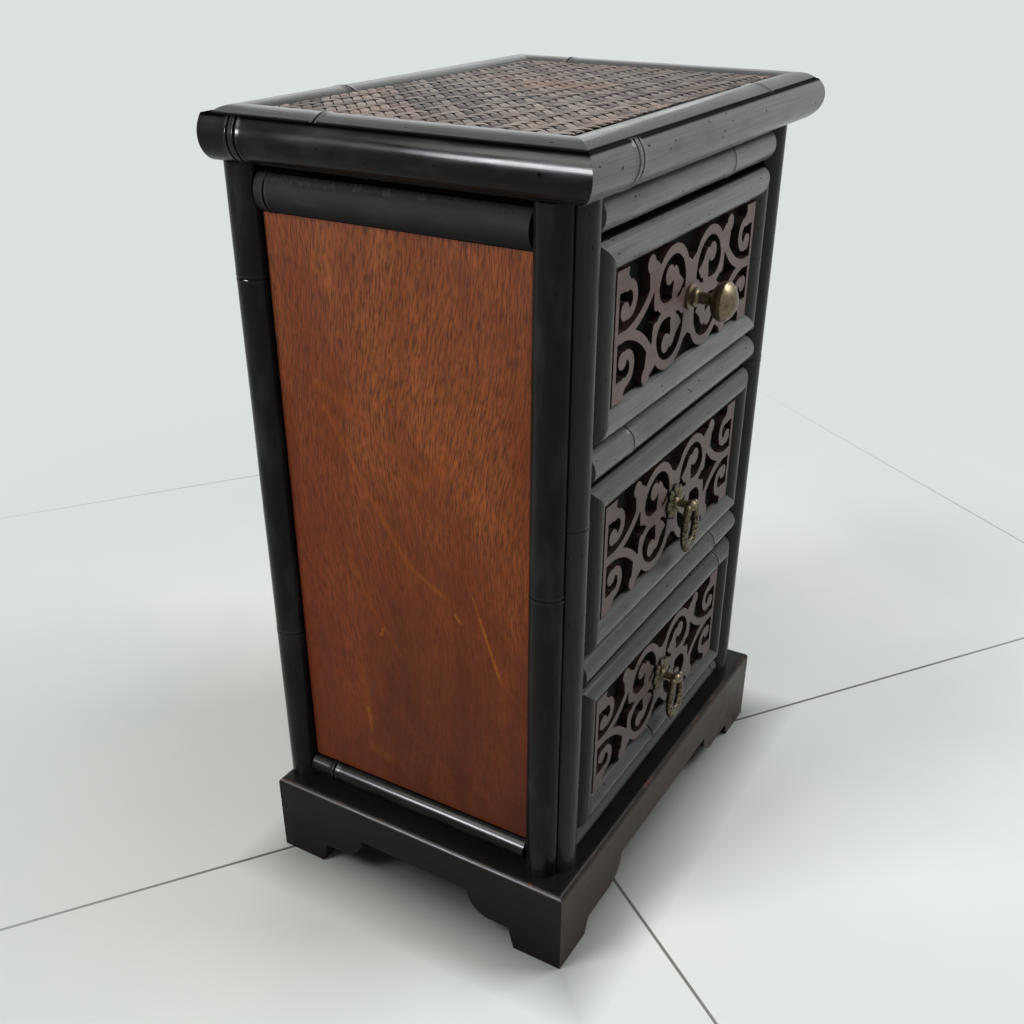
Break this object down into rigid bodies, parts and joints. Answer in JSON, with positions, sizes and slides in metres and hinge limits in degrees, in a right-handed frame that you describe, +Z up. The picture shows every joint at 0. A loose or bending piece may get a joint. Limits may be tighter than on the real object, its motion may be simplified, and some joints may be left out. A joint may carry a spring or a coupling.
{
  "type": "chest of drawers",
  "caption": "Small bamboo chest of drawers on a bracket-foot plinth: split-bamboo frame, pierced scroll drawer fronts, woven mat top, brass knob and swinging loop pulls.",
  "frame": {"origin": "on the floor, below the middle of the box that runs from the knob's end to the back", "axes": "+Z up, -Y out of the drawer fronts, +X to the right in a front view"},
  "size_m": [0.4038, 0.3026, 0.6259],
  "materials": {
    "bamboo": "ebonised split bamboo with a worn satin sheen",
    "plinth_wood": "ebonised board, arrises worn to red-brown",
    "panel_ply": "red-brown varnished plywood",
    "inner_wood": "plain softwood and ply, unseen from outside",
    "front_board": "dark painted ply behind the grille",
    "grille_wood": "fret-sawn ply, dark stained, pale on its cut edges",
    "mat": "twill-woven bamboo splints, stained",
    "brass": "aged brass, dark in the recesses"
  },
  "bodies": {
    "carcass": {"back_panel": "panel_ply", "base_board": "inner_wood", "cross_members": "inner_wood", "drawer_guides": "inner_wood", "drawer_runners": "inner_wood", "front_divider_lower": "bamboo", "front_divider_upper": "bamboo", "front_rail_bottom": "bamboo", "front_rail_top": "bamboo", "front_stiles": "inner_wood", "plinth_back": "plinth_wood", "plinth_blocks": "inner_wood", "plinth_front": "plinth_wood", "plinth_left": "plinth_wood", "plinth_right": "plinth_wood", "post_front_left_face": "bamboo", "post_front_left_side": "bamboo", "post_front_right_face": "bamboo", "post_front_right_side": "bamboo", "rear_posts": "bamboo", "side_panel_left": "panel_ply", "side_panel_right": "panel_ply", "side_rail_bottom_left": "bamboo", "side_rail_bottom_right": "bamboo", "side_rail_top_left": "bamboo", "side_rail_top_right": "bamboo", "top_battens": "inner_wood", "top_board": "inner_wood", "top_edge_back": "plinth_wood", "top_edge_front": "bamboo", "top_edge_left": "bamboo", "top_edge_right": "bamboo", "top_strip_back": "bamboo", "top_strip_front": "bamboo", "top_strip_left": "bamboo", "top_strip_right": "bamboo", "woven_mat": "mat"},
    "drawer_bottom": {"drawer_bottom_bottom": "inner_wood", "drawer_bottom_frame": "bamboo", "drawer_bottom_front": "front_board", "drawer_bottom_grille": "grille_wood", "drawer_bottom_walls": "inner_wood", "pull_plate_bottom": "brass", "pull_stud_bottom": "brass"},
    "drawer_middle": {"drawer_middle_bottom": "inner_wood", "drawer_middle_frame": "bamboo", "drawer_middle_front": "front_board", "drawer_middle_grille": "grille_wood", "drawer_middle_walls": "inner_wood", "pull_plate_middle": "brass", "pull_stud_middle": "brass"},
    "drawer_top": {"drawer_top_bottom": "inner_wood", "drawer_top_frame": "bamboo", "drawer_top_front": "front_board", "drawer_top_grille": "grille_wood", "drawer_top_walls": "inner_wood", "knob": "brass", "knob_screw": "brass"},
    "pull_bottom": {"pull_loop_bottom": "brass"},
    "pull_middle": {"pull_loop_middle": "brass"}
  },
  "joints": [
    {"name": "drawer_top_slide", "type": "slide", "parent": "carcass", "child": "drawer_top", "axis": [0, -1, 0], "range_m": [0, 0.17]},
    {"name": "drawer_middle_slide", "type": "slide", "parent": "carcass", "child": "drawer_middle", "axis": [0, -1, 0], "range_m": [0, 0.17]},
    {"name": "drawer_bottom_slide", "type": "slide", "parent": "carcass", "child": "drawer_bottom", "axis": [0, -1, 0], "range_m": [0, 0.17]},
    {"name": "pull_middle_hinge", "type": "hinge", "parent": "drawer_middle", "child": "pull_middle", "pos_m": [0, -0.13075, 0.3275], "axis": [-1, 0, 0], "range_deg": [-15, 165]},
    {"name": "pull_bottom_hinge", "type": "hinge", "parent": "drawer_bottom", "child": "pull_bottom", "pos_m": [0, -0.13075, 0.163], "axis": [-1, 0, 0], "range_deg": [-15, 165]}
  ]
}
